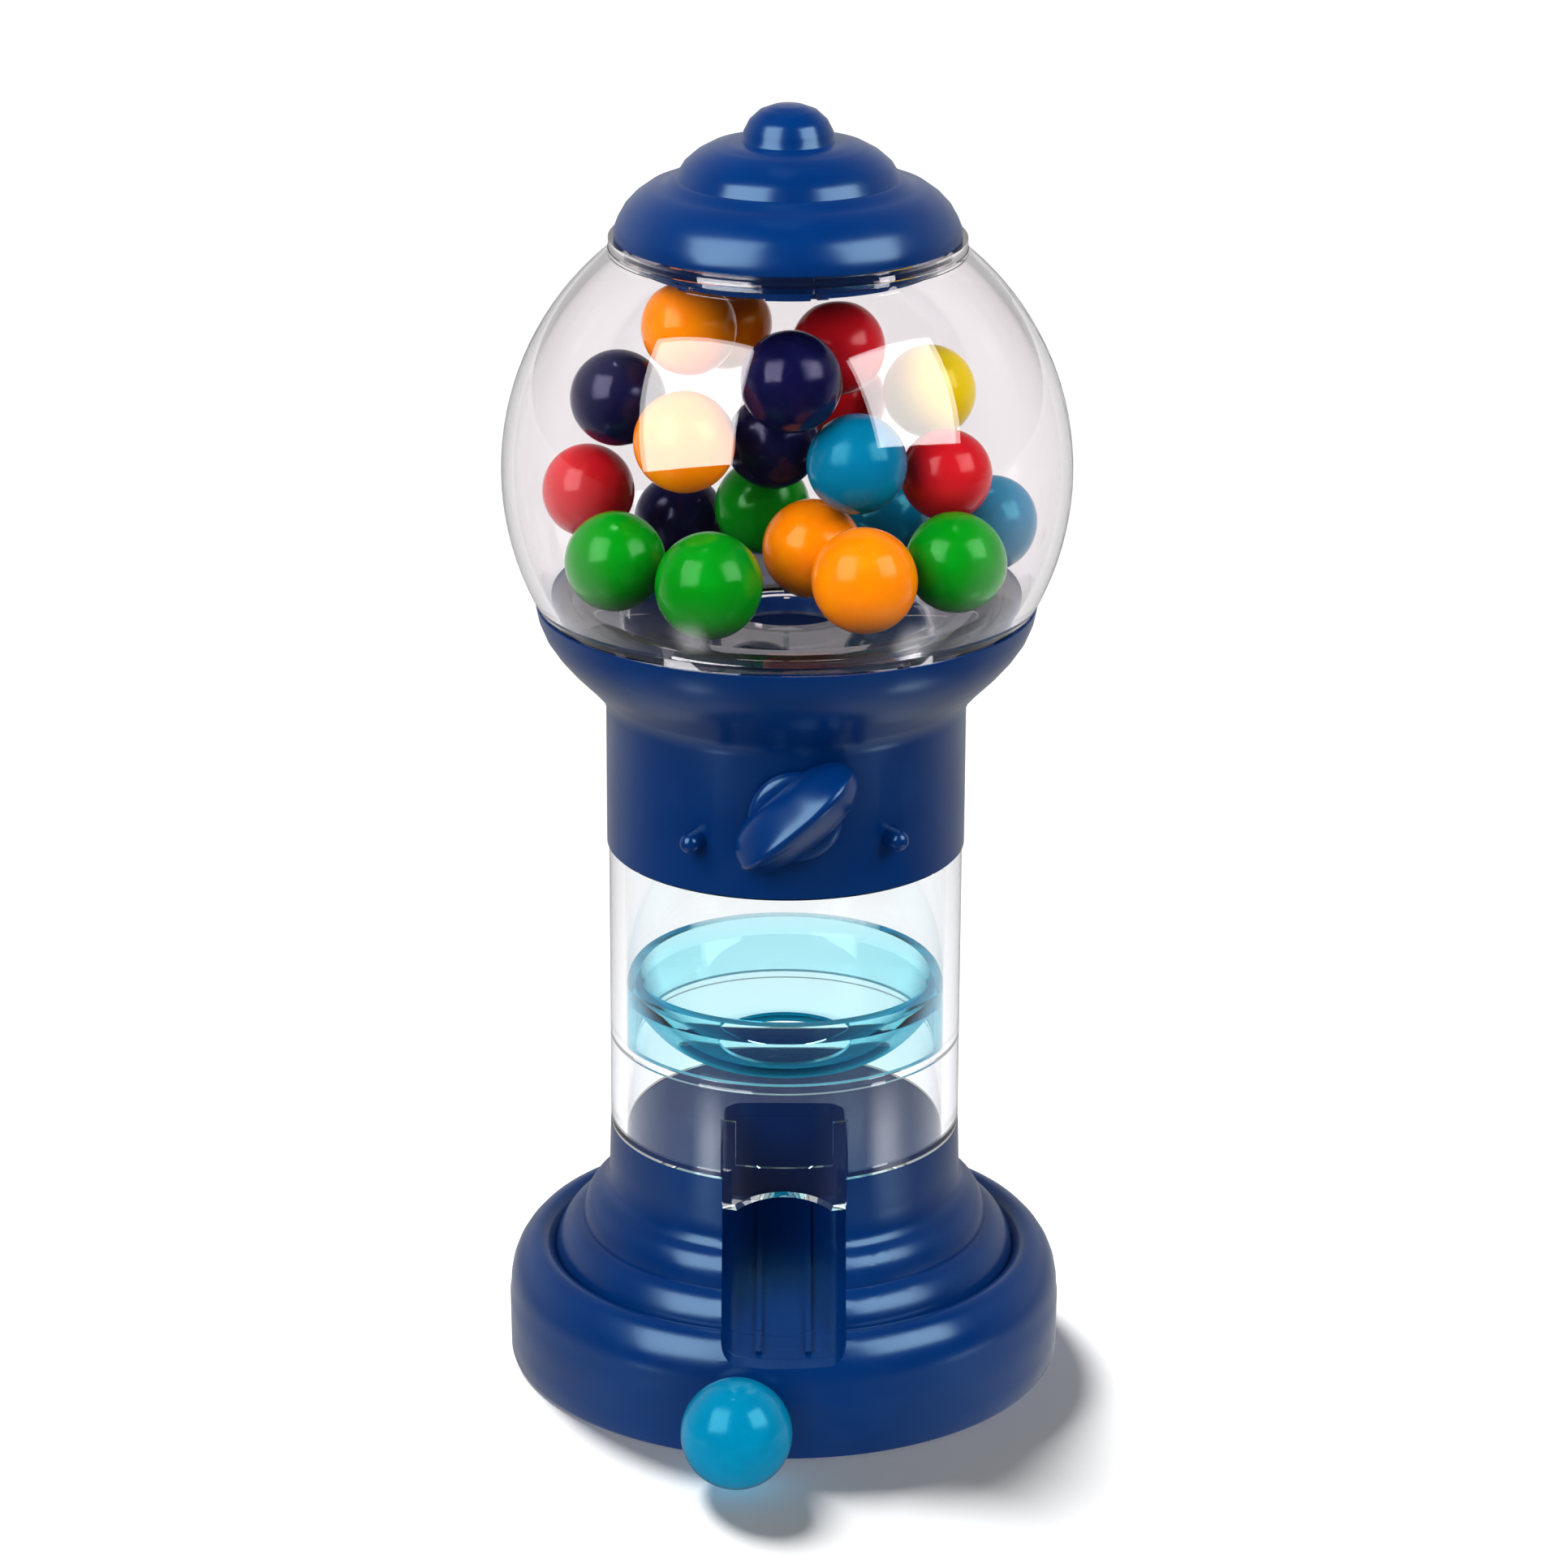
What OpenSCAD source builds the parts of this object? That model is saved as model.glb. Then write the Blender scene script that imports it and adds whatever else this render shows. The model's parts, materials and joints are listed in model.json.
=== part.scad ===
// Toy gumball machine: twist-lock lid, clear globe, turning dispensing drum,
// clear tube with a funnel, stepped base with a chute. +Z up, front is -Y.
// Origin: centre of the underside of the base.

/* [Gumballs] */
// radius of the gumball that has been vended
vended_r = 7.8; // [7:0.1:7.8]
// radius of the pocket in the drum
pocket_r = 8.2; // [8:0.1:8.3]

/* [Knob] */
// length of the leaf-shaped knob handle
leaf_len = 21; // [18:0.5:24]
// width of the knob handle
leaf_w = 10; // [8:0.5:11]
// tilt of the handle from level
leaf_tilt = 41; // [0:1:90]

/* [Details] */
// radius of the two pins beside the knob
pin_r = 1.5; // [1.2:0.1:1.7]
// number of stiffening ribs under the hopper floor
hopper_ribs = 8; // [4:1:12]
// radius of the screws in the bottom cover
screw_r = 1.2; // [1:0.1:1.3]

/* [Fits] */
// radial running clearance of the drum
run = 0.05; // [0.03:0.01:0.09]

/* [Hidden] */
$fn = 120;
knob_z = 91;
drum_r = 11.9 - run;
globe_r = 39.9;
globe_in = 38.1;
globe_z = 133.4;
slope = 10;
mouth_y = -39.7;
mouth_z = 13.6;
slot_w = 17.6;
pin_az = 32;
head_turn = 3;
pin_z = 86.3;
lug_at = [30, 150, 270];
screw_at = [60, 180, 300];
blue = [0.05, 0.16, 0.5];
clear = [0.88, 0.92, 0.96];

lid_out = [
  [0, 185], [2.2, 184.8], [4, 184.1], [5.4, 182.8], [6.2, 181.2], [6.3, 180.4],
  [6.6, 180], [8.6, 179.8], [10.8, 179.2], [12.8, 178.1], [14.4, 176.7],
  [15.2, 175.4], [15.5, 174.9], [16.3, 174.7], [16.8, 174.2], [19.5, 173.3],
  [21.3, 172], [22.6, 170.6], [23.5, 169], [24.05, 167.6], [24.05, 166.7]
];
lid_in = [
  [22.8, 166.7], [22.8, 168.6], [21, 170.3], [20.6, 170.5], [20.6, 162.4],
  [19, 162.4], [19, 170.9], [15.2, 172], [13.6, 173.6], [12.4, 175.4],
  [9.6, 177], [5, 177.8], [4.2, 179.4], [3.4, 181.6], [0, 182.6]
];
collar_out = [
  [25.5, 78.7], [25.5, 99.2], [26.2, 101], [28.2, 103.2], [30.8, 105.8],
  [32.6, 107.9], [34, 110], [34.9, 112.2], [35.3, 114.2]
];
collar_in = [
  [32.45, 114.2], [32.45, 110.5], [29.6, 110.5], [29.6, 107.5], [27.4, 104.6],
  [25.2, 102.4], [23.6, 100.2], [23.6, 97], [21.6, 97], [21.6, 95],
  [23.6, 93.6], [23.6, 83.6], [24.15, 83.6], [24.15, 78.7]
];
base_out = [
  [39.8, 0], [40.1, 0.5], [40.2, 8.7], [40.05, 9.3], [40, 11], [39.7, 12.7],
  [39.1, 14.3], [38.3, 15.6], [37.3, 16.7], [36.2, 17.3], [35.2, 17.3], [34.2, 16.7],
  [33.4, 15.7], [33.2, 16.9], [32.7, 18.1], [32, 19.2], [31.1, 20.1], [30.2, 20.6],
  [29.4, 20.7], [29.2, 21.9], [28.8, 23.2], [28.2, 24.2], [27.4, 25], [26.6, 25.4],
  [25.9, 26.1], [25.5, 27.2], [25.25, 35.65]
];
ring_in = [
  [24.05, 35.65], [24.05, 31], [22.75, 31], [22.75, 36], [0, 36]
];
cavity = [
  [0, 34], [21.2, 34], [21.2, 28.6], [23.7, 28.6], [23.9, 25.8], [24.9, 24],
  [26.4, 23], [27.1, 21.8], [27.7, 19.2], [30, 18.5], [31, 17.3], [31.7, 14.2],
  [33.2, 13.7], [35.4, 15.4], [36.6, 14.8], [37.6, 13.2], [38, 11.2], [38, 9.6],
  [37.4, 0]
];

green_balls = [[-10.5, -22, 123.2, 7.3], [-23.5, -12, 123.5, 6.9], [23, -15, 124.5, 6.9],
  [-3.5, 8, 125.5, 6.8]];
orange_balls = [[10.5, -22, 124, 7.2], [3.5, -9, 124.5, 6.9], [-14, -12, 140.5, 7],
  [-13.5, -4, 154.5, 6.6], [-8.7, 9.5, 151.8, 6.5]];
red_balls = [[-28, 2, 129.5, 6.6], [22, -5, 134, 6.4], [7, 3, 150, 6.6], [7.5, 16, 139, 6.6]];
blue_balls = [[9.5, -12, 137.5, 6.9], [14, 12, 123, 6.6], [29, 3.5, 124.5, 6.8]];
purple_balls = [[-23.5, 0, 143.5, 6.7], [0.5, -12, 149, 7], [-2, -1, 137.5, 6.6],
  [-15.5, 16, 121.2, 6.6]];
yellow_balls = [[20, 8, 142.5, 6.6]];

// a cylinder along Y from y0 to y1
module ycyl(r, y0, y1) {
  translate([0, y1, 0]) rotate([90, 0, 0]) cylinder(r = r, h = y1 - y0);
}

// a ring of rectangular section
module ring(ri, ro, z0, z1) {
  difference() {
    translate([0, 0, z0]) cylinder(r = ro, h = z1 - z0);
    translate([0, 0, z0 - 1]) cylinder(r = ri, h = z1 - z0 + 2);
  }
}

// part of a ring, centred on angle a and w degrees wide
module arc_block(ri, ro, z0, z1, a, w) {
  rotate([0, 0, a - w / 2]) rotate_extrude(angle = w)
    polygon([[ri, z0], [ro, z0], [ro, z1], [ri, z1]]);
}

module balls(list) {
  for (b = list) translate([b[0], b[1], b[2]]) sphere(r = b[3]);
}

module lid() {
  color(blue) {
    rotate_extrude() polygon(concat(lid_out, lid_in));
    for (a = lug_at) arc_block(20.3, 21.7, 162.4, 164, a, 16);
  }
}

module lid_ring() {
  color(clear) ring(22.65, 24.8, 165.3, 166.65);
}

module globe() {
  color(clear) difference() {
    union() {
      difference() {
        intersection() {
          translate([0, 0, globe_z]) sphere(r = globe_r);
          translate([0, 0, 114.25]) cylinder(r = 60, h = 51);
        }
        translate([0, 0, globe_z]) sphere(r = globe_in);
      }
      ring(30.8, 34.8, 114.25, 115.6);
      ring(30.8, 32.4, 110.6, 115);
      ring(20.7, 24.9, 164.2, 165.25);
      ring(20.7, 22.6, 164.2, 168.4);
      for (a = lug_at) arc_block(20.9, 22.2, 162.6, 164.4, a + 12, 4);
      for (a = lug_at) arc_block(20.9, 22.2, 162.6, 164.4, a - 39, 4);
    }
    for (a = lug_at) arc_block(20, 21.8, 164.1, 169, a, 18);
  }
}

module hopper_floor() {
  color(clear) {
    rotate_extrude() polygon([[30.7, 110.55], [30.7, 115.6], [29, 115.6], [24.4, 114.9],
      [24, 114.3], [8.8, 113.2], [8.8, 111.9], [10.25, 111.9], [10.25, 107.6],
      [11.4, 107.6], [11.4, 112], [24, 112.9], [29.1, 113.7], [29.1, 110.55]]);
    for (i = [0 : hopper_ribs - 1]) rotate([0, 0, i * 360 / hopper_ribs])
      translate([11, -0.4, 110.8]) cube([18.4, 0.8, 1.9]);
  }
}

// the collar and everything in it, turned a little on the tube
module head() {
  rotate([0, 0, head_turn]) children();
}

module pin_line() {
  for (s = [-1, 1]) rotate([0, 0, s * pin_az]) translate([0, 0, pin_z]) children();
}

module collar() {
  color(blue) head() difference() {
    rotate_extrude() polygon(concat(collar_out, collar_in));
    translate([0, 0, knob_z]) ycyl(5, -23.45, -18);
    translate([0, 0, knob_z]) ycyl(2.55, -30, -20);
    pin_line() ycyl(pin_r + 0.02, -30, -20);
  }
}

module housing_pins() {
  color(blue) head() pin_line() {
    ycyl(pin_r, -27.2, -18);
    translate([0, -27.2, 0]) sphere(r = pin_r);
  }
}

module drum_housing() {
  color(blue) head() difference() {
    union() {
      translate([0, 0, knob_z]) ycyl(13.6, -11.8, 11.8);
      translate([0, 0, 79]) cylinder(r = 10.2, h = 12);
      translate([0, 0, 91]) cylinder(r = 10.2, h = 18.2);
      translate([0, 0, 97.05]) cylinder(r = 23.5, h = 1.55);
      pin_line() ycyl(2.6, -23.3, -13);
    }
    translate([0, 0, knob_z]) ycyl(11.9, -10.1, 10.1);
    translate([0, 0, 78]) cylinder(r = 8.8, h = 32);
    translate([0, 0, knob_z]) ycyl(2.55, -15, -8);
    translate([0, 0, knob_z]) ycyl(3.05, 8, 13);
    pin_line() ycyl(pin_r + 0.02, -30, -17.9);
  }
}

module dispensing_drum() {
  color([0.8, 0.82, 0.85]) head() translate([0, 0, knob_z]) difference() {
    union() {
      ycyl(drum_r, -10, 10);
      ycyl(3, 9, 11.7);
      ycyl(2.5, -30.5, -9);
    }
    translate([0, 0, -4.5]) cylinder(r = pocket_r, h = 20);
    difference() {
      ycyl(4, -22.95, -22.05);
      ycyl(2.2, -24, -21);
    }
  }
}

module shaft_clip() {
  color([0.7, 0.7, 0.72]) head() translate([0, 0, knob_z]) difference() {
    ycyl(4.6, -22.85, -22.15);
    ycyl(2.25, -24, -21);
    translate([-1.6, -24, -6]) cube([3.2, 3, 6]);
  }
}

// leaf outline: two arcs that meet at the tips
module leaf(l, w) {
  r = (l * l / 4 + w * w / 4) / w;
  intersection() {
    translate([0, r - w / 2]) circle(r = r);
    translate([0, w / 2 - r]) circle(r = r);
  }
}

module knob() {
  color(blue) head() translate([0, 0, knob_z]) difference() {
    union() {
      ycyl(7.2, -27.6, -25.7);
      intersection() {
        rotate([0, -leaf_tilt, 0]) translate([0, -26.6, 0]) rotate([90, 0, 0])
          linear_extrude(height = 8) leaf(leaf_len, leaf_w);
        rotate([0, -leaf_tilt, 0]) translate([0, -22.6, 0]) scale([1.15, 1, 0.75])
          sphere(r = 11.5);
      }
    }
    ycyl(2.52, -30.6, -25);
  }
}

// the shallow arch under the tube's tab
module arch(half, rise, z) {
  r = (half * half + rise * rise) / (2 * rise);
  translate([0, 0, z + rise - r]) ycyl(r, -30, -15);
}

module tube() {
  color(clear) difference() {
    union() {
      rotate_extrude() polygon([[22.9, 83.4], [24.1, 83.4], [24.1, 78.4], [25.2, 78.4],
        [25.2, 35.7], [24, 35.7], [24, 31.2], [22.9, 31.2], [22.9, 48.6], [22, 48.6],
        [22, 49.8], [22.9, 49.8]]);
      intersection() {
        ring(23.5, 25.2, 31.2, 36);
        translate([-8.7, -30, 30]) cube([17.4, 20, 8]);
      }
      intersection() {
        ring(22.3, 23.2, 31.2, 44);
        union() {
          translate([-8.7, -30, 30]) cube([17.4, 20, 7.4]);
          for (x = [-8.7, 6.6]) translate([x, -30, 30]) cube([2.1, 20, 20]);
        }
      }
    }
    arch(6.7, 2.5, 31.2);
  }
}

// one side of the funnel bowl, from the hole up: r and z grow by dr and dz
function bowl(r, z, dr, dz) = [for (i = [0 : 20])
  [r + dr * sin(3 * i) / sin(60), z + 2 * dz * (1 - cos(3 * i))]];
function reverse(p) = [for (i = [len(p) - 1 : -1 : 0]) p[i]];

module funnel() {
  color([0.35, 0.8, 0.95]) rotate_extrude()
    polygon(concat(bowl(9.8, 48.2, 10.8, 9.1), [[21, 58.9], [22.8, 58.9], [22.8, 49.85],
      [21.6, 49.85]], reverse(bowl(9.8, 46.8, 11.8, 9.1))));
}

// the chute's inside, cut through the base and open at the front
module chute_space() {
  r = 2.5;
  h = slot_w / 2;
  intersection() {
    translate([0, mouth_y, mouth_z]) rotate([slope, 0, 0]) translate([0, 60, 0])
      rotate([90, 0, 0]) linear_extrude(height = 80) {
        translate([-h, r]) square([2 * h, 50]);
        translate([r - h, 0]) square([2 * (h - r), r + 1]);
        for (s = [-1, 1]) translate([s * (h - r), r]) circle(r = r);
      }
    linear_extrude(height = 60) {
      translate([-h, -60]) square([2 * h, 61.5]);
      translate([3 - h, -1]) square([2 * (h - 3), 5.5]);
      for (s = [-1, 1]) translate([s * (h - 3), 1.5]) circle(r = 3);
    }
  }
}

// two low ribs along the chute floor, up to y1 along the slope
module chute_ribs(y1) {
  for (s = [-1, 1]) translate([0, mouth_y, mouth_z]) rotate([slope, 0, 0])
    translate([s * 3.5 - 0.4, 3.8, -0.3]) cube([0.8, y1 - 3.8, 0.9]);
}

module base_shell() {
  color(blue) {
    difference() {
      union() {
        rotate_extrude() polygon(concat(base_out, ring_in, cavity));
        intersection() {
          rotate_extrude() polygon(concat([[0, 0]], base_out, [[0, 35]]));
          for (a = screw_at) rotate([0, 0, a]) translate([31, 0, 2]) cylinder(r = 3.2, h = 25);
        }
      }
      chute_space();
      for (a = screw_at) rotate([0, 0, a]) translate([31, 0, 1]) cylinder(r = screw_r, h = 12);
    }
    difference() {
      chute_ribs(9.5);
      rotate_extrude() polygon(cavity);
    }
  }
}

// the space inside the base shell, with a small gap all round
module cavity_fill() {
  rotate_extrude() polygon(concat([[0, 0]], [for (p = cavity)
    [max(0, p[0] - 0.04), max(0, p[1] - 0.04)]]));
}

module chute() {
  color(blue) {
    difference() {
      intersection() {
        translate([-10.4, -38.5, 1.85]) cube([20.8, 44.6, 40]);
        cavity_fill();
      }
      chute_space();
      translate([0, mouth_y, mouth_z]) rotate([slope, 0, 0])
        translate([-slot_w / 2, 3.5, -60]) cube([slot_w, 40, 58.4]);
    }
    intersection() {
      chute_ribs(41.2);
      cavity_fill();
    }
  }
}

module bottom_cover() {
  color(blue) difference() {
    translate([0, 0, 0]) cylinder(r = 37.3, h = 1.8);
    for (a = screw_at) rotate([0, 0, a]) translate([31, 0, -1]) cylinder(r = screw_r + 0.2, h = 4);
    for (a = screw_at) rotate([0, 0, a]) translate([31, 0, -1]) cylinder(r = 2.6, h = 1.9);
  }
}

module cover_screws() {
  color([0.7, 0.7, 0.72]) for (a = screw_at) rotate([0, 0, a]) translate([31, 0, 0])
    difference() {
      union() {
        translate([0, 0, 0.1]) cylinder(r = 2.5, h = 0.8);
        translate([0, 0, 0.5]) cylinder(r = screw_r - 0.01, h = 10);
      }
      for (t = [0, 90]) rotate([0, 0, t]) translate([-1.5, -0.25, 0]) cube([3, 0.5, 0.6]);
    }
}

module gumballs_green() { color([0.1, 0.6, 0.15]) balls(green_balls); }
module gumballs_orange() { color([0.95, 0.5, 0.05]) balls(orange_balls); }
module gumballs_red() { color([0.7, 0.08, 0.1]) balls(red_balls); }
module gumballs_blue() { color([0.05, 0.5, 0.7]) balls(blue_balls); }
module gumballs_purple() { color([0.12, 0.08, 0.3]) balls(purple_balls); }
module gumball_yellow() { color([0.9, 0.8, 0.1]) balls(yellow_balls); }
module vended_gumball() {
  color([0.05, 0.55, 0.72]) translate([-6.5, -47.7, vended_r]) sphere(r = vended_r);
}

lid();
lid_ring();
globe();
hopper_floor();
collar();
housing_pins();
drum_housing();
dispensing_drum();
shaft_clip();
knob();
tube();
funnel();
base_shell();
chute();
bottom_cover();
cover_screws();
gumballs_green();
gumballs_orange();
gumballs_red();
gumballs_blue();
gumballs_purple();
gumball_yellow();
vended_gumball();
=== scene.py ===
import bpy, bmesh, json, math
from mathutils import Matrix, Vector


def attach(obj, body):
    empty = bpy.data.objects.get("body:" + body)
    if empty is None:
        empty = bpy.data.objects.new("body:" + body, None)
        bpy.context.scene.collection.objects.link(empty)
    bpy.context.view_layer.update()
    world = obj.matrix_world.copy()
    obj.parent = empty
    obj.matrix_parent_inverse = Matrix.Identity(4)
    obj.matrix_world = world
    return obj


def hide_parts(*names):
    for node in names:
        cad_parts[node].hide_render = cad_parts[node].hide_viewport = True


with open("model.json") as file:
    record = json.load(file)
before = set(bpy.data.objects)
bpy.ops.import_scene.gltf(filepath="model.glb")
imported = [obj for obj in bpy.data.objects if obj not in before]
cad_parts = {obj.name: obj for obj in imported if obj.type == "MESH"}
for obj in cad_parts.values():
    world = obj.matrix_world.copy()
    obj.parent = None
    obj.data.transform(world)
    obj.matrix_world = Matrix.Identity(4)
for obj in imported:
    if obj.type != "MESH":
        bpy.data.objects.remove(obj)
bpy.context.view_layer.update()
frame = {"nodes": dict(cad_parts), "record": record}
nodes = frame["nodes"]

MM = 0.001


# ---------------------------------------------------------------- shader helpers
class Tree:
    """A node tree, emptied, with short calls to add and link shader nodes."""

    def __init__(self, tree):
        self.t = tree
        tree.nodes.clear()

    def add(self, kind, **values):
        """Values named i_Socket_Name set input sockets, the others set node properties."""
        n = self.t.nodes.new("ShaderNode" + kind)
        for key, value in values.items():
            if key.startswith("i_"):
                n.inputs[key[2:].replace("_", " ")].default_value = value
            else:
                setattr(n, key, value)
        return n

    def link(self, a, b):
        self.t.links.new(a, b)

    def calc(self, operation, *values, clamp=False):
        """A maths node on sockets or numbers."""
        n = self.add("Math", operation=operation, use_clamp=clamp)
        for value, socket in zip(values, n.inputs):
            if isinstance(value, (int, float)):
                socket.default_value = value
            else:
                self.link(value, socket)
        return n.outputs[0]

    def mix_shader(self, fac, a, b):
        n = self.add("MixShader")
        for source, socket in zip((fac, a, b), n.inputs):
            self.link(source, socket)
        return n.outputs[0]

    def finish(self, surface):
        o = self.add("OutputMaterial")
        self.link(surface, o.inputs["Surface"])
        return o


def material(name):
    m = bpy.data.materials.new(name)
    m.use_nodes = True
    return m, Tree(m.node_tree)


def noise_tex(t, scale, detail=2.0, rough=0.5, stretch=(1, 1, 1)):
    """Noise fixed to the object. stretch multiplies its frequency along each axis."""
    co = t.add("TexCoord")
    mp = t.add("Mapping", i_Scale=stretch)
    n = t.add("TexNoise", i_Scale=scale, i_Detail=detail, i_Roughness=rough)
    t.link(co.outputs["Object"], mp.inputs["Vector"])
    t.link(mp.outputs["Vector"], n.inputs["Vector"])
    return n.outputs["Fac"]


def ramp(t, source, lo, hi, a=0.35, b=0.65):
    """lo where source is at a, hi where it is at b, straight in between and held outside."""
    r = t.add("MapRange", i_From_Min=a, i_From_Max=b, i_To_Min=lo, i_To_Max=hi)
    t.link(source, r.inputs["Value"])
    return r.outputs["Result"]


def mix_colour(t, fac, a, b):
    m = t.add("Mix", data_type="RGBA")
    first, second = [i for i in m.inputs if i.type == "RGBA"]
    first.default_value = (*a, 1)
    second.default_value = (*b, 1)
    t.link(fac, m.inputs[0])
    return [o for o in m.outputs if o.type == "RGBA"][0]


def bump(t, waves):
    """waves: (height socket, strength, distance in metres), one bump over the other."""
    last = None
    for source, strength, distance in waves:
        b = t.add("Bump", i_Strength=strength, i_Distance=distance)
        t.link(source, b.inputs["Height"])
        if last:
            t.link(last, b.inputs["Normal"])
        last = b.outputs["Normal"]
    return last


def principled(t, rough, normal, **inputs):
    p = t.add("BsdfPrincipled", **inputs)
    t.link(rough, p.inputs["Roughness"])
    t.link(normal, p.inputs["Normal"])
    return p


# ---------------------------------------------------------------- materials
def plastic(name, dark, light, rough=(0.19, 0.26), tint=(1, 1, 1)):
    """Moulded plastic: faint colour drift, slightly wavy, with fine grain."""
    m, t = material(name)
    waves = [(noise_tex(t, 70, 1), 0.08, 0.0004), (noise_tex(t, 1400, 2), 0.04, 0.0001)]
    p = principled(t, ramp(t, noise_tex(t, 120, 4), *rough), bump(t, waves),
                   i_Specular_Tint=(*tint, 1))
    t.link(mix_colour(t, ramp(t, noise_tex(t, 45, 3), 0, 1), dark, light), p.inputs["Base Color"])
    t.finish(p.outputs[0])
    return m


TUBE_TOP, GLOBE_BOTTOM = 0.08, 0.13
# grey of the painted shade streaks towards a clear wall's outline, standing in for dark
# reflections
PAINTED_EDGE_SHADE = (0.72, 0.69, 0.72, 1)
MILK = (0.02, 0.5, 0.66, 1)


def clear(name, low, high, shade, ior=1.47, dense=None):
    """A clear moulding that drifts from colour low at the tube to high at the globe, with painted
    shade towards its outline: grey streaks that stand in for dark reflections. Shadow and
    diffuse rays pass straight through it, tinted by shade.
    dense (density, colour) makes it absorb light inside and look milky where seen edge on."""
    m, t = material(name)
    p = principled(t, ramp(t, noise_tex(t, 30, 3), 0.0, 0.03),
                   bump(t, [(noise_tex(t, 40, 1), 0.06, 0.0006)]),
                   i_Transmission_Weight=1.0, i_IOR=ior)
    co = t.add("TexCoord")
    sep = t.add("SeparateXYZ")
    t.link(co.outputs["Object"], sep.inputs[0])
    body = mix_colour(t, ramp(t, sep.outputs["Z"], 0, 1, TUBE_TOP, GLOBE_BOTTOM), low, high)
    slant = t.add("LayerWeight", i_Blend=0.5).outputs["Facing"]
    # painted shade: the colour turns grey in streaks towards the outline, in place of dark
    # reflections
    edge = t.calc("MULTIPLY", ramp(t, slant, 0, 1, 0.45, 0.8),
                  ramp(t, noise_tex(t, 60, 2, stretch=(1, 1, 0.2)), 0.2, 0.9))
    tinted = t.add("Mix", data_type="RGBA", blend_type="MULTIPLY")
    fac, first, second = [i for i in tinted.inputs if i.enabled]
    t.link(edge, fac)
    t.link(body, first)
    second.default_value = PAINTED_EDGE_SHADE
    t.link([o for o in tinted.outputs if o.enabled][0], p.inputs["Base Color"])
    through = t.add("BsdfTransparent", i_Color=(*shade, 1))
    path = t.add("LightPath")
    passes = t.calc("MAXIMUM", path.outputs["Is Shadow Ray"], path.outputs["Is Diffuse Ray"])
    surface = t.mix_shader(passes, p.outputs[0], through.outputs[0])
    if dense:
        milk = t.add("BsdfDiffuse", i_Color=MILK)
        surface = t.mix_shader(ramp(t, slant, 0.0, 0.75, 0.5, 0.95), surface, milk.outputs[0])
    out = t.finish(surface)
    if dense:
        density, colour = dense
        v = t.add("VolumeAbsorption", i_Color=(*colour, 1), i_Density=density)
        t.link(v.outputs[0], out.inputs["Volume"])
    return m


def candy(name, colour, pale, shine):
    """A polished sugar shell with pale specks and a slightly uneven surface."""
    m, t = material(name)
    waves = [(noise_tex(t, 170, 2), 0.1, 0.0005), (noise_tex(t, 2200, 2), 0.05, 0.0001)]
    p = principled(t, ramp(t, noise_tex(t, 300, 3), 0.13, 0.22), bump(t, waves),
                   i_Specular_IOR_Level=0.3, i_Specular_Tint=(*shine, 1))
    speck = ramp(t, noise_tex(t, 240, 4, 0.6), 0, 1, 0.45, 0.85)
    t.link(mix_colour(t, speck, colour, pale), p.inputs["Base Color"])
    t.finish(p.outputs[0])
    return m


def drawn_steel(name):
    """Steel with fine lines along Z."""
    m, t = material(name)
    p = principled(t, ramp(t, noise_tex(t, 600, 3, stretch=(1, 1, 12)), 0.22, 0.4),
                   bump(t, [(noise_tex(t, 900, 2, stretch=(1, 1, 14)), 0.1, 0.0001)]),
                   i_Base_Color=(0.6, 0.6, 0.62, 1), i_Metallic=1.0)
    t.finish(p.outputs[0])
    return m


BLUE = plastic("blue_plastic", (0.0, 0.0145, 0.082), (0.0, 0.0185, 0.1), tint=(0.45, 0.76, 1.0))
SLOTS = {
    "blue_plastic": BLUE,
    "white_plastic": plastic("white_plastic", (0.62, 0.63, 0.65), (0.72, 0.73, 0.75),
                             rough=(0.3, 0.4)),
    "clear_plastic": clear("clear_plastic", (0.95, 0.965, 0.975), (0.95, 0.918, 0.93),
                           (0.93, 0.935, 0.95)),
    "cyan_plastic": clear("cyan_plastic", (0.93, 0.99, 1.0), (0.93, 0.99, 1.0), (0.6, 0.9, 0.97),
                          ior=1.25, dense=(230, (0.05, 0.85, 0.93))),
    "steel": drawn_steel("steel"),
    "candy_green": candy("candy_green", (0.0, 0.21, 0.004), (0.0, 0.27, 0.008), (0.4, 1, 0.45)),
    "candy_orange": candy("candy_orange", (0.88, 0.21, 0.0), (0.92, 0.27, 0.0), (1, 0.8, 0.4)),
    "candy_red": candy("candy_red", (0.50, 0.006, 0.012), (0.56, 0.012, 0.016), (1, 0.6, 0.6)),
    "candy_blue": candy("candy_blue", (0.0, 0.14, 0.26), (0.0, 0.165, 0.30), (0.2, 0.9, 1)),
    "candy_purple": candy("candy_purple", (0.003, 0.003, 0.030), (0.006, 0.006, 0.045),
                          (0.65, 0.65, 1)),
    "candy_yellow": candy("candy_yellow", (0.70, 0.49, 0.0), (0.76, 0.55, 0.0), (1, 0.95, 0.4)),
}


# ---------------------------------------------------------------- CAD nodes
SHARP_ANGLE = math.radians(32)
WELD_GAP = 0.004 * MM


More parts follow.
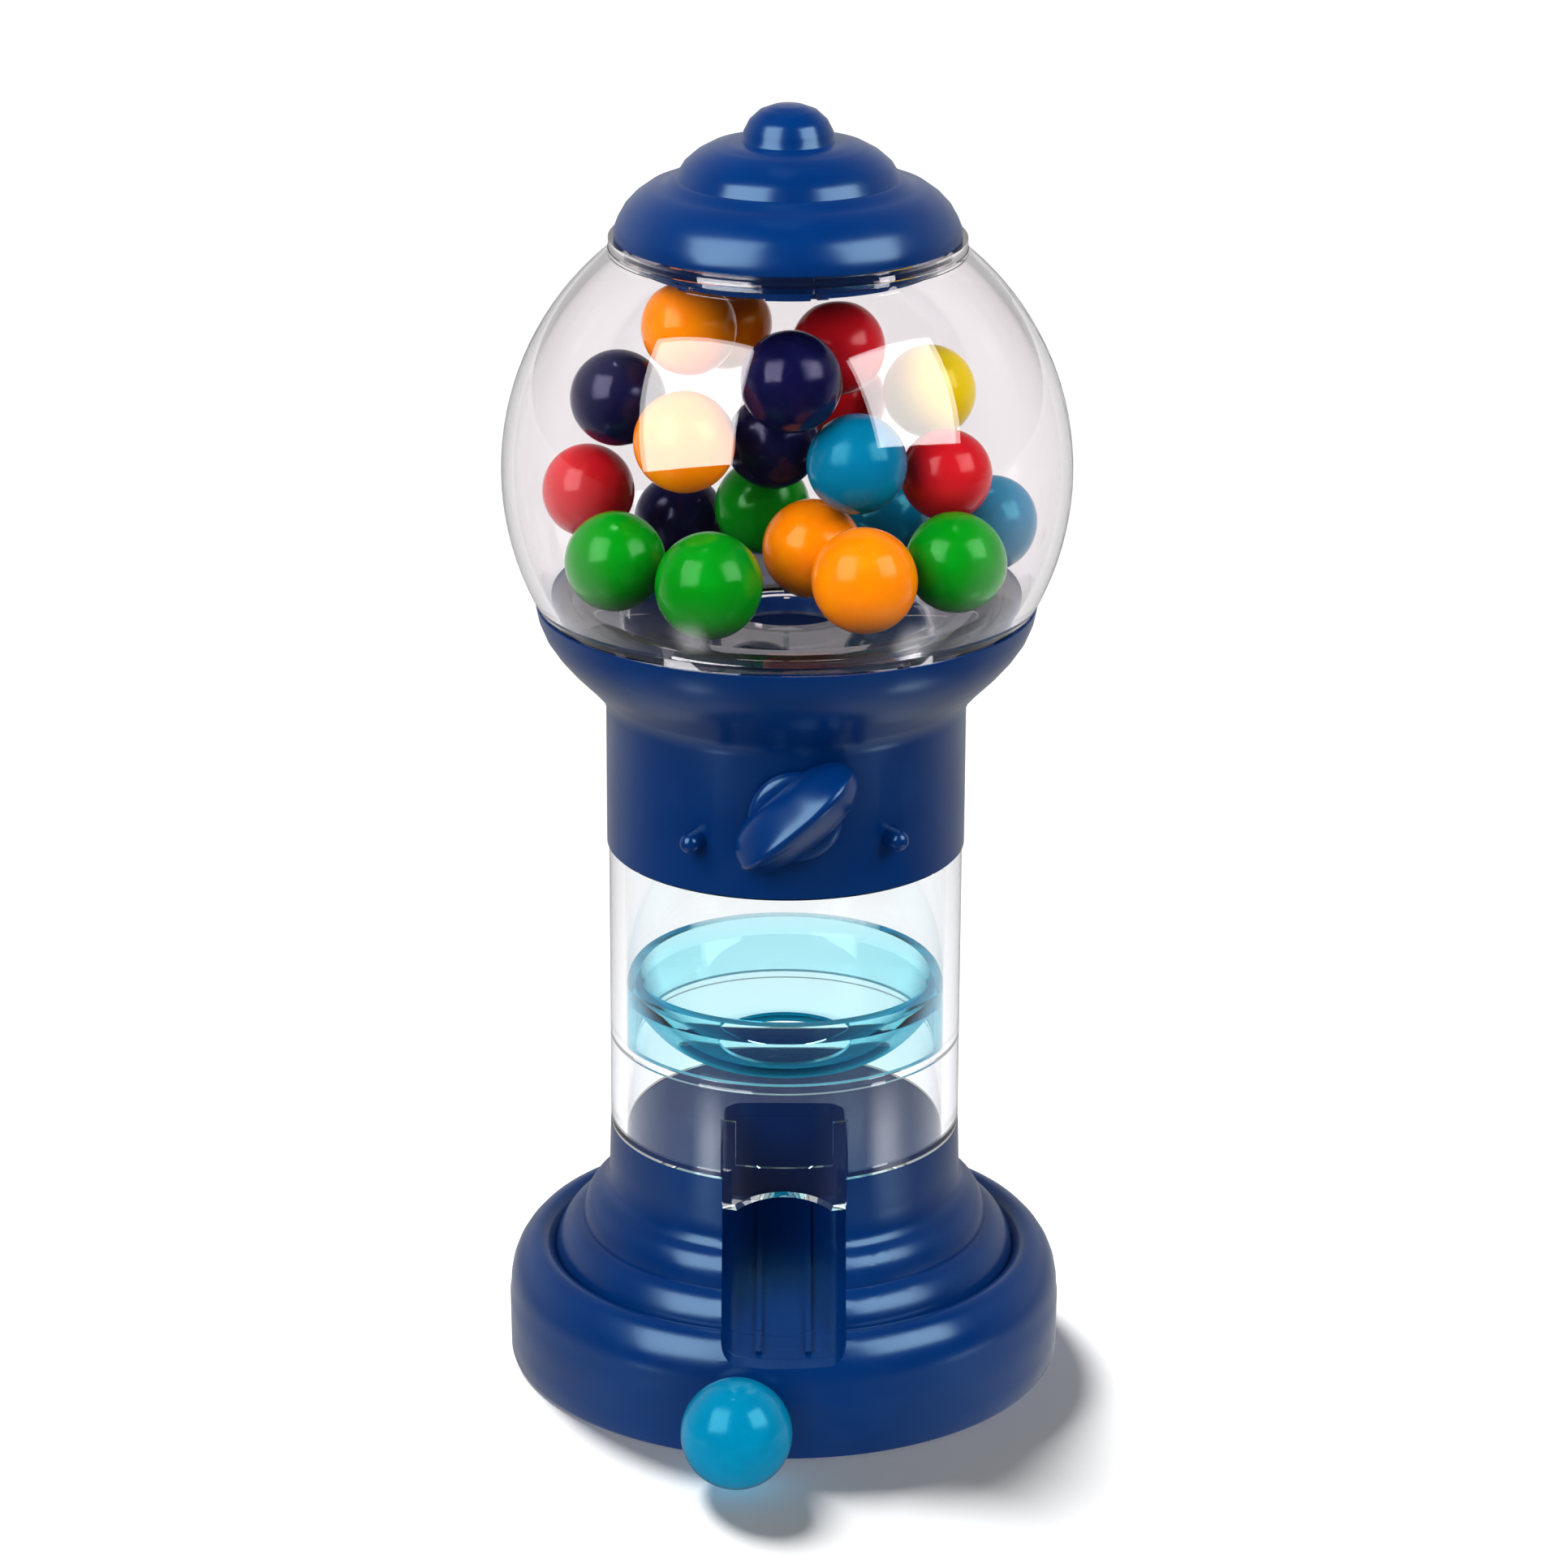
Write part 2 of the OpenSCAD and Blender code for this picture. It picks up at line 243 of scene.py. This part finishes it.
def smooth_group():
    """Geometry nodes: weld, then smooth shading except across edges sharper than SHARP_ANGLE."""
    g = bpy.data.node_groups.new("smooth_by_angle", "GeometryNodeTree")
    g.interface.new_socket("Geometry", in_out="INPUT", socket_type="NodeSocketGeometry")
    g.interface.new_socket("Geometry", in_out="OUTPUT", socket_type="NodeSocketGeometry")
    gi = g.nodes.new("NodeGroupInput")
    go = g.nodes.new("NodeGroupOutput")
    weld = g.nodes.new("GeometryNodeMergeByDistance")
    weld.inputs["Distance"].default_value = WELD_GAP
    face = g.nodes.new("GeometryNodeSetShadeSmooth")
    edge = g.nodes.new("GeometryNodeSetShadeSmooth")
    edge.domain = "EDGE"
    angle = g.nodes.new("GeometryNodeInputMeshEdgeAngle")
    flat = g.nodes.new("ShaderNodeMath")
    flat.operation = "LESS_THAN"
    flat.inputs[1].default_value = SHARP_ANGLE
    g.links.new(gi.outputs[0], weld.inputs["Geometry"])
    g.links.new(weld.outputs["Geometry"], face.inputs["Geometry"])
    g.links.new(face.outputs["Geometry"], edge.inputs["Geometry"])
    g.links.new(angle.outputs["Unsigned Angle"], flat.inputs[0])
    g.links.new(flat.outputs[0], edge.inputs["Shade Smooth"])
    g.links.new(edge.outputs["Geometry"], go.inputs[0])
    return g


smooth = smooth_group()
slot_of = {s["node"]: s["material_slot"] for s in frame["record"]["subparts"]}
for name, ob in nodes.items():
    ob.data.materials.clear()
    ob.data.materials.append(SLOTS[slot_of[name]])
    md = ob.modifiers.new("smooth", "NODES")
    md.node_group = smooth


# ---------------------------------------------------------------- knob
HUB_PROFILE = [(6.6, -25.72), (6.6, -26.1), (6.5, -26.5), (6.25, -26.85), (5.9, -27.1),
               (5.4, -27.3), (4.6, -27.42), (3.5, -27.5), (2.0, -27.52)]
HUB_SIDES = 96
HANDLE_HALF, HANDLE_WIDE, HANDLE_HIGH = 10.4, 4.8, 7.6
HANDLE_BACK = -25.9
HANDLE_TILT = math.radians(41)
HEAD_TURN = math.radians(3)
KNOB_Z = 91


def hub(verts, faces):
    """Rings (radius, y) from the collar out over a soft edge to the middle, closed behind."""
    n = HUB_SIDES
    for r, y in HUB_PROFILE:
        for k in range(n):
            a = 2 * math.pi * k / n
            verts.append((r * math.cos(a), y, r * math.sin(a)))
    for i in range(len(HUB_PROFILE) - 1):
        for k in range(n):
            k2 = (k + 1) % n
            faces.append((i * n + k, (i + 1) * n + k, (i + 1) * n + k2, i * n + k2))
    top = (len(HUB_PROFILE) - 1) * n
    verts.append((0, HUB_PROFILE[-1][1], 0))
    for k in range(n):
        faces.append((top + k, len(verts) - 1, top + (k + 1) % n))
    faces.append(tuple(range(n)))


def handle(verts, faces):
    """A boat shape across the hub with a ridge along the middle, flat and closed behind."""
    rows, cols = 72, 56
    first = len(verts)
    for i in range(rows + 1):
        u = math.sin(math.pi / 2 * (-1 + 2 * i / rows))
        wide = HANDLE_WIDE * max(1 - abs(u) ** 2.5, 0.0) ** 0.5 + 0.02
        high = HANDLE_HIGH * max(1 - abs(u) ** 3.0, 0.0) ** 0.5
        for j in range(cols + 1):
            s = math.sin(math.pi / 2 * (-1 + 2 * j / cols))
            ridge = 1 - (math.hypot(s, 0.2) - 0.2) / (math.hypot(1, 0.2) - 0.2)
            side = max(1 - abs(s) ** 9, 0.0) ** 0.5
            y = HANDLE_BACK - high * (0.3 * side + 0.7 * ridge)
            # the ridge leans a little towards the upper edge
            w = wide * (s + 0.08 * ridge)
            x = HANDLE_HALF * u
            verts.append((x * math.cos(HANDLE_TILT) - w * math.sin(HANDLE_TILT), y,
                          x * math.sin(HANDLE_TILT) + w * math.cos(HANDLE_TILT)))
    for i in range(rows):
        for j in range(cols):
            p = first + i * (cols + 1) + j
            faces.append((p, p + 1, p + cols + 2, p + cols + 1))
    last = first + rows * (cols + 1)
    faces.append((*range(first, first + cols), *range(first + cols, last + cols, cols + 1),
                  *range(last + cols, last, -1), *range(last, first, -cols - 1)))


def sculpt_knob():
    verts, faces = [], []
    hub(verts, faces)
    handle(verts, faces)
    place = Matrix.Rotation(HEAD_TURN, 4, "Z") @ Matrix.Translation((0, 0, KNOB_Z))
    me = bpy.data.meshes.new("knob_sculpt")
    me.from_pydata([MM * (place @ Vector(v)) for v in verts], [], faces)
    me.materials.append(BLUE)
    bm = bmesh.new()
    bm.from_mesh(me)
    bmesh.ops.recalc_face_normals(bm, faces=bm.faces)
    for f in bm.faces:
        # only the two flat backs have more than four corners
        f.smooth = len(f.verts) < 5
    bm.to_mesh(me)
    bm.free()
    ob = bpy.data.objects.new("knob_sculpt", me)
    bpy.context.scene.collection.objects.link(ob)
    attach(ob, "knob_body")
    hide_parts("knob")


sculpt_knob()


# ---------------------------------------------------------------- floor
FLOOR_HALF = 4.0
FLOOR_Z = -0.0002
# bright strips in the mirrored floor: sideways place of the middle and half width, as x / r
STRIPS = ((-0.72, 0.12), (0.90, 0.10))
STRIP_GLOW = 2.6


def floor_glow(t, r, side, ahead):
    """What mirror reflections see of the floor: a dim studio, dark in front, brighter at the back
    and sides, with two strips beside the base. r is the distance from the middle, side and ahead
    are x / r and y / r."""
    far = ramp(t, ahead, 0.02, 0.42, -0.3, 0.5)
    near = t.calc("MULTIPLY", ramp(t, r, 0.6, 0.0, 0.06, 0.2),
                  ramp(t, t.calc("ABSOLUTE", side), 0.2, 1.0, 0.3, 0.8))
    glow = t.calc("MAXIMUM", far, near)
    for centre, half in STRIPS:
        off = t.calc("ABSOLUTE", t.calc("SUBTRACT", side, centre))
        strip = ramp(t, off, STRIP_GLOW, 0, 0.3 * half, half)
        for part in (ramp(t, ahead, 1, 0, -0.2, -0.1), ramp(t, r, 0, 1, 0.096, 0.103),
                     ramp(t, r, 1, 0, 0.12, 0.145)):
            strip = t.calc("MULTIPLY", strip, part)
        glow = t.calc("ADD", glow, strip)
    return glow


def stage_floor():
    """A white table that takes the shadow near the machine and glows white farther out."""
    me = bpy.data.meshes.new("floor")
    h = FLOOR_HALF
    me.from_pydata([(x, y, FLOOR_Z) for x, y in ((-h, -h), (h, -h), (h, h), (-h, h))], [],
                   [(0, 1, 2, 3)])
    ob = bpy.data.objects.new("floor", me)
    bpy.context.scene.collection.objects.link(ob)
    m, t = material("floor_white")
    co = t.add("TexCoord")
    length = t.add("VectorMath", operation="LENGTH")
    unit = t.add("VectorMath", operation="NORMALIZE")
    sep = t.add("SeparateXYZ")
    t.link(co.outputs["Object"], length.inputs[0])
    t.link(co.outputs["Object"], unit.inputs[0])
    t.link(unit.outputs["Vector"], sep.inputs[0])
    r, side, ahead = length.outputs["Value"], sep.outputs["X"], sep.outputs["Y"]

    white = t.add("BsdfDiffuse")
    grey = t.add("CombineColor")
    shade = ramp(t, r, 0.9, 0.04, 0.1, 0.22)
    for socket in list(grey.inputs)[:3]:
        t.link(shade, socket)
    t.link(grey.outputs[0], white.inputs["Color"])
    shine = t.add("Emission")
    t.link(ramp(t, r, 0.14, 1.0, 0.1, 0.22), shine.inputs["Strength"])
    plain = t.add("AddShader")
    t.link(white.outputs[0], plain.inputs[0])
    t.link(shine.outputs[0], plain.inputs[1])
    studio = t.add("Emission")
    t.link(floor_glow(t, r, side, ahead), studio.inputs["Strength"])
    bounce = t.add("Emission")
    t.link(ramp(t, r, 2.0, 0.7, 0.08, 0.25), bounce.inputs["Strength"])

    # mirror rays see the studio, and so do rays that a clear wall reflects towards the front
    path = t.add("LightPath")
    glossy, passed = path.outputs["Is Glossy Ray"], path.outputs["Is Transmission Ray"]
    mirror = t.calc("SUBTRACT", glossy, passed, clamp=True)
    walls = t.calc("MULTIPLY", passed, path.outputs["Glossy Depth"], clamp=True)
    front = t.calc("MULTIPLY", walls, ramp(t, ahead, 1.0, 0.0, -0.2, 0.3))
    seen = t.mix_shader(t.calc("ADD", front, mirror, clamp=True), plain.outputs[0],
                        studio.outputs[0])
    t.finish(t.mix_shader(path.outputs["Is Diffuse Ray"], seen, bounce.outputs[0]))
    me.materials.append(m)
    return ob


floor = stage_floor()


# ---------------------------------------------------------------- world
def studio_world():
    """Lit from behind the machine and dark in front of it. Seen straight or through a clear
    wall it is plain white, like the floor."""
    world = bpy.data.worlds.new("studio")
    world.use_nodes = True
    t = Tree(world.node_tree)
    co = t.add("TexCoord")
    sep = t.add("SeparateXYZ")
    t.link(co.outputs["Generated"], sep.inputs[0])
    glow = t.calc("MULTIPLY", ramp(t, sep.outputs["Y"], 0.02, 0.55, -0.1, 0.5),
                  ramp(t, sep.outputs["Z"], 1.0, 0.25, 0.35, 0.8))
    path = t.add("LightPath")
    passed = t.calc("SUBTRACT", path.outputs["Is Transmission Ray"], path.outputs["Glossy Depth"],
                    clamp=True)
    plain = t.calc("MAXIMUM", path.outputs["Is Camera Ray"], passed)
    bg = t.add("Background", i_Color=(1, 1, 1, 1))
    t.link(t.calc("MAXIMUM", plain, glow), bg.inputs["Strength"])
    out = t.add("OutputWorld")
    t.link(bg.outputs[0], out.inputs["Surface"])
    return world


bpy.context.scene.world = studio_world()


# ---------------------------------------------------------------- lights
LOOK = Vector((0, 0, 0.12))
SHADOW_CASTERS = ("base_shell", "chute", "bottom_cover", "vended_gumball")


def place_lamp(name, data):
    ob = bpy.data.objects.new(name, data)
    bpy.context.scene.collection.objects.link(ob)
    return ob


def collection_of(name, objects):
    c = bpy.data.collections.new(name)
    for ob in objects:
        c.objects.link(ob)
    return c


def softbox(name, direction, distance, w, h, radiance, roll=0):
    """A softbox aimed at LOOK and turned by roll degrees. It doesn't light the floor."""
    d = bpy.data.lights.new(name, "AREA")
    d.shape = "RECTANGLE"
    d.size = w
    d.size_y = h
    d.energy = radiance * w * h * math.pi
    ob = place_lamp(name, d)
    ob.location = LOOK + Vector(direction).normalized() * distance
    aim = (LOOK - ob.location).to_track_quat("-Z", "Y")
    ob.rotation_euler = (aim.to_matrix() @ Matrix.Rotation(math.radians(roll), 3, "Z")).to_euler()
    ob.visible_camera = False
    ob.light_linking.receiver_collection = not_floor
    return ob


not_floor = collection_of("not_floor", [floor])
not_floor.collection_objects[0].light_linking.link_state = "EXCLUDE"
softbox("softbox_left", (-0.60, -0.54, 0.59), 0.7, 0.50, 0.62, 9.0, 18)
softbox("softbox_right", (0.71, -0.38, 0.58), 0.7, 0.46, 0.45, 9.0, -15)
overhead = softbox("overhead", (-0.05, 0.16, 1.0), 1.0, 0.16, 0.16, 70.0)
overhead.visible_glossy = False

# a soft sun that only draws the shadow on the floor
sun = place_lamp("shadow_sun", bpy.data.lights.new("shadow_sun", "SUN"))
sun.data.energy = 6.0
sun.data.angle = math.radians(22)
sun.rotation_euler = Vector((0.62, -1.2, -1.15)).to_track_quat("-Z", "Y").to_euler()
sun.visible_glossy = False
sun.visible_transmission = False
sun.light_linking.blocker_collection = collection_of("casters",
                                                     [nodes[n] for n in SHADOW_CASTERS])
sun.light_linking.receiver_collection = collection_of("only_floor", [floor])

# ---------------------------------------------------------------- camera
IMAGE_PX = 1932
FOCAL_PX = 6591.5
SENSOR_MM = 36
PITCH, YAW, ROLL = 19.299, 0.021, 0.23

cam = bpy.data.cameras.new("camera")
cam.sensor_width = SENSOR_MM
cam.lens = SENSOR_MM * FOCAL_PX / IMAGE_PX
cam.clip_start = 0.01
cob = bpy.data.objects.new("camera", cam)
cob.matrix_world = (Matrix.Translation((0, -0.7193, 0.3386))
                    @ Matrix.Rotation(math.radians(YAW), 4, "Z")
                    @ Matrix.Rotation(math.radians(90 - PITCH), 4, "X")
                    @ Matrix.Rotation(math.radians(ROLL), 4, "Z"))
bpy.context.scene.collection.objects.link(cob)
bpy.context.scene.camera = cob
bpy.context.scene.view_settings.view_transform = "Standard"
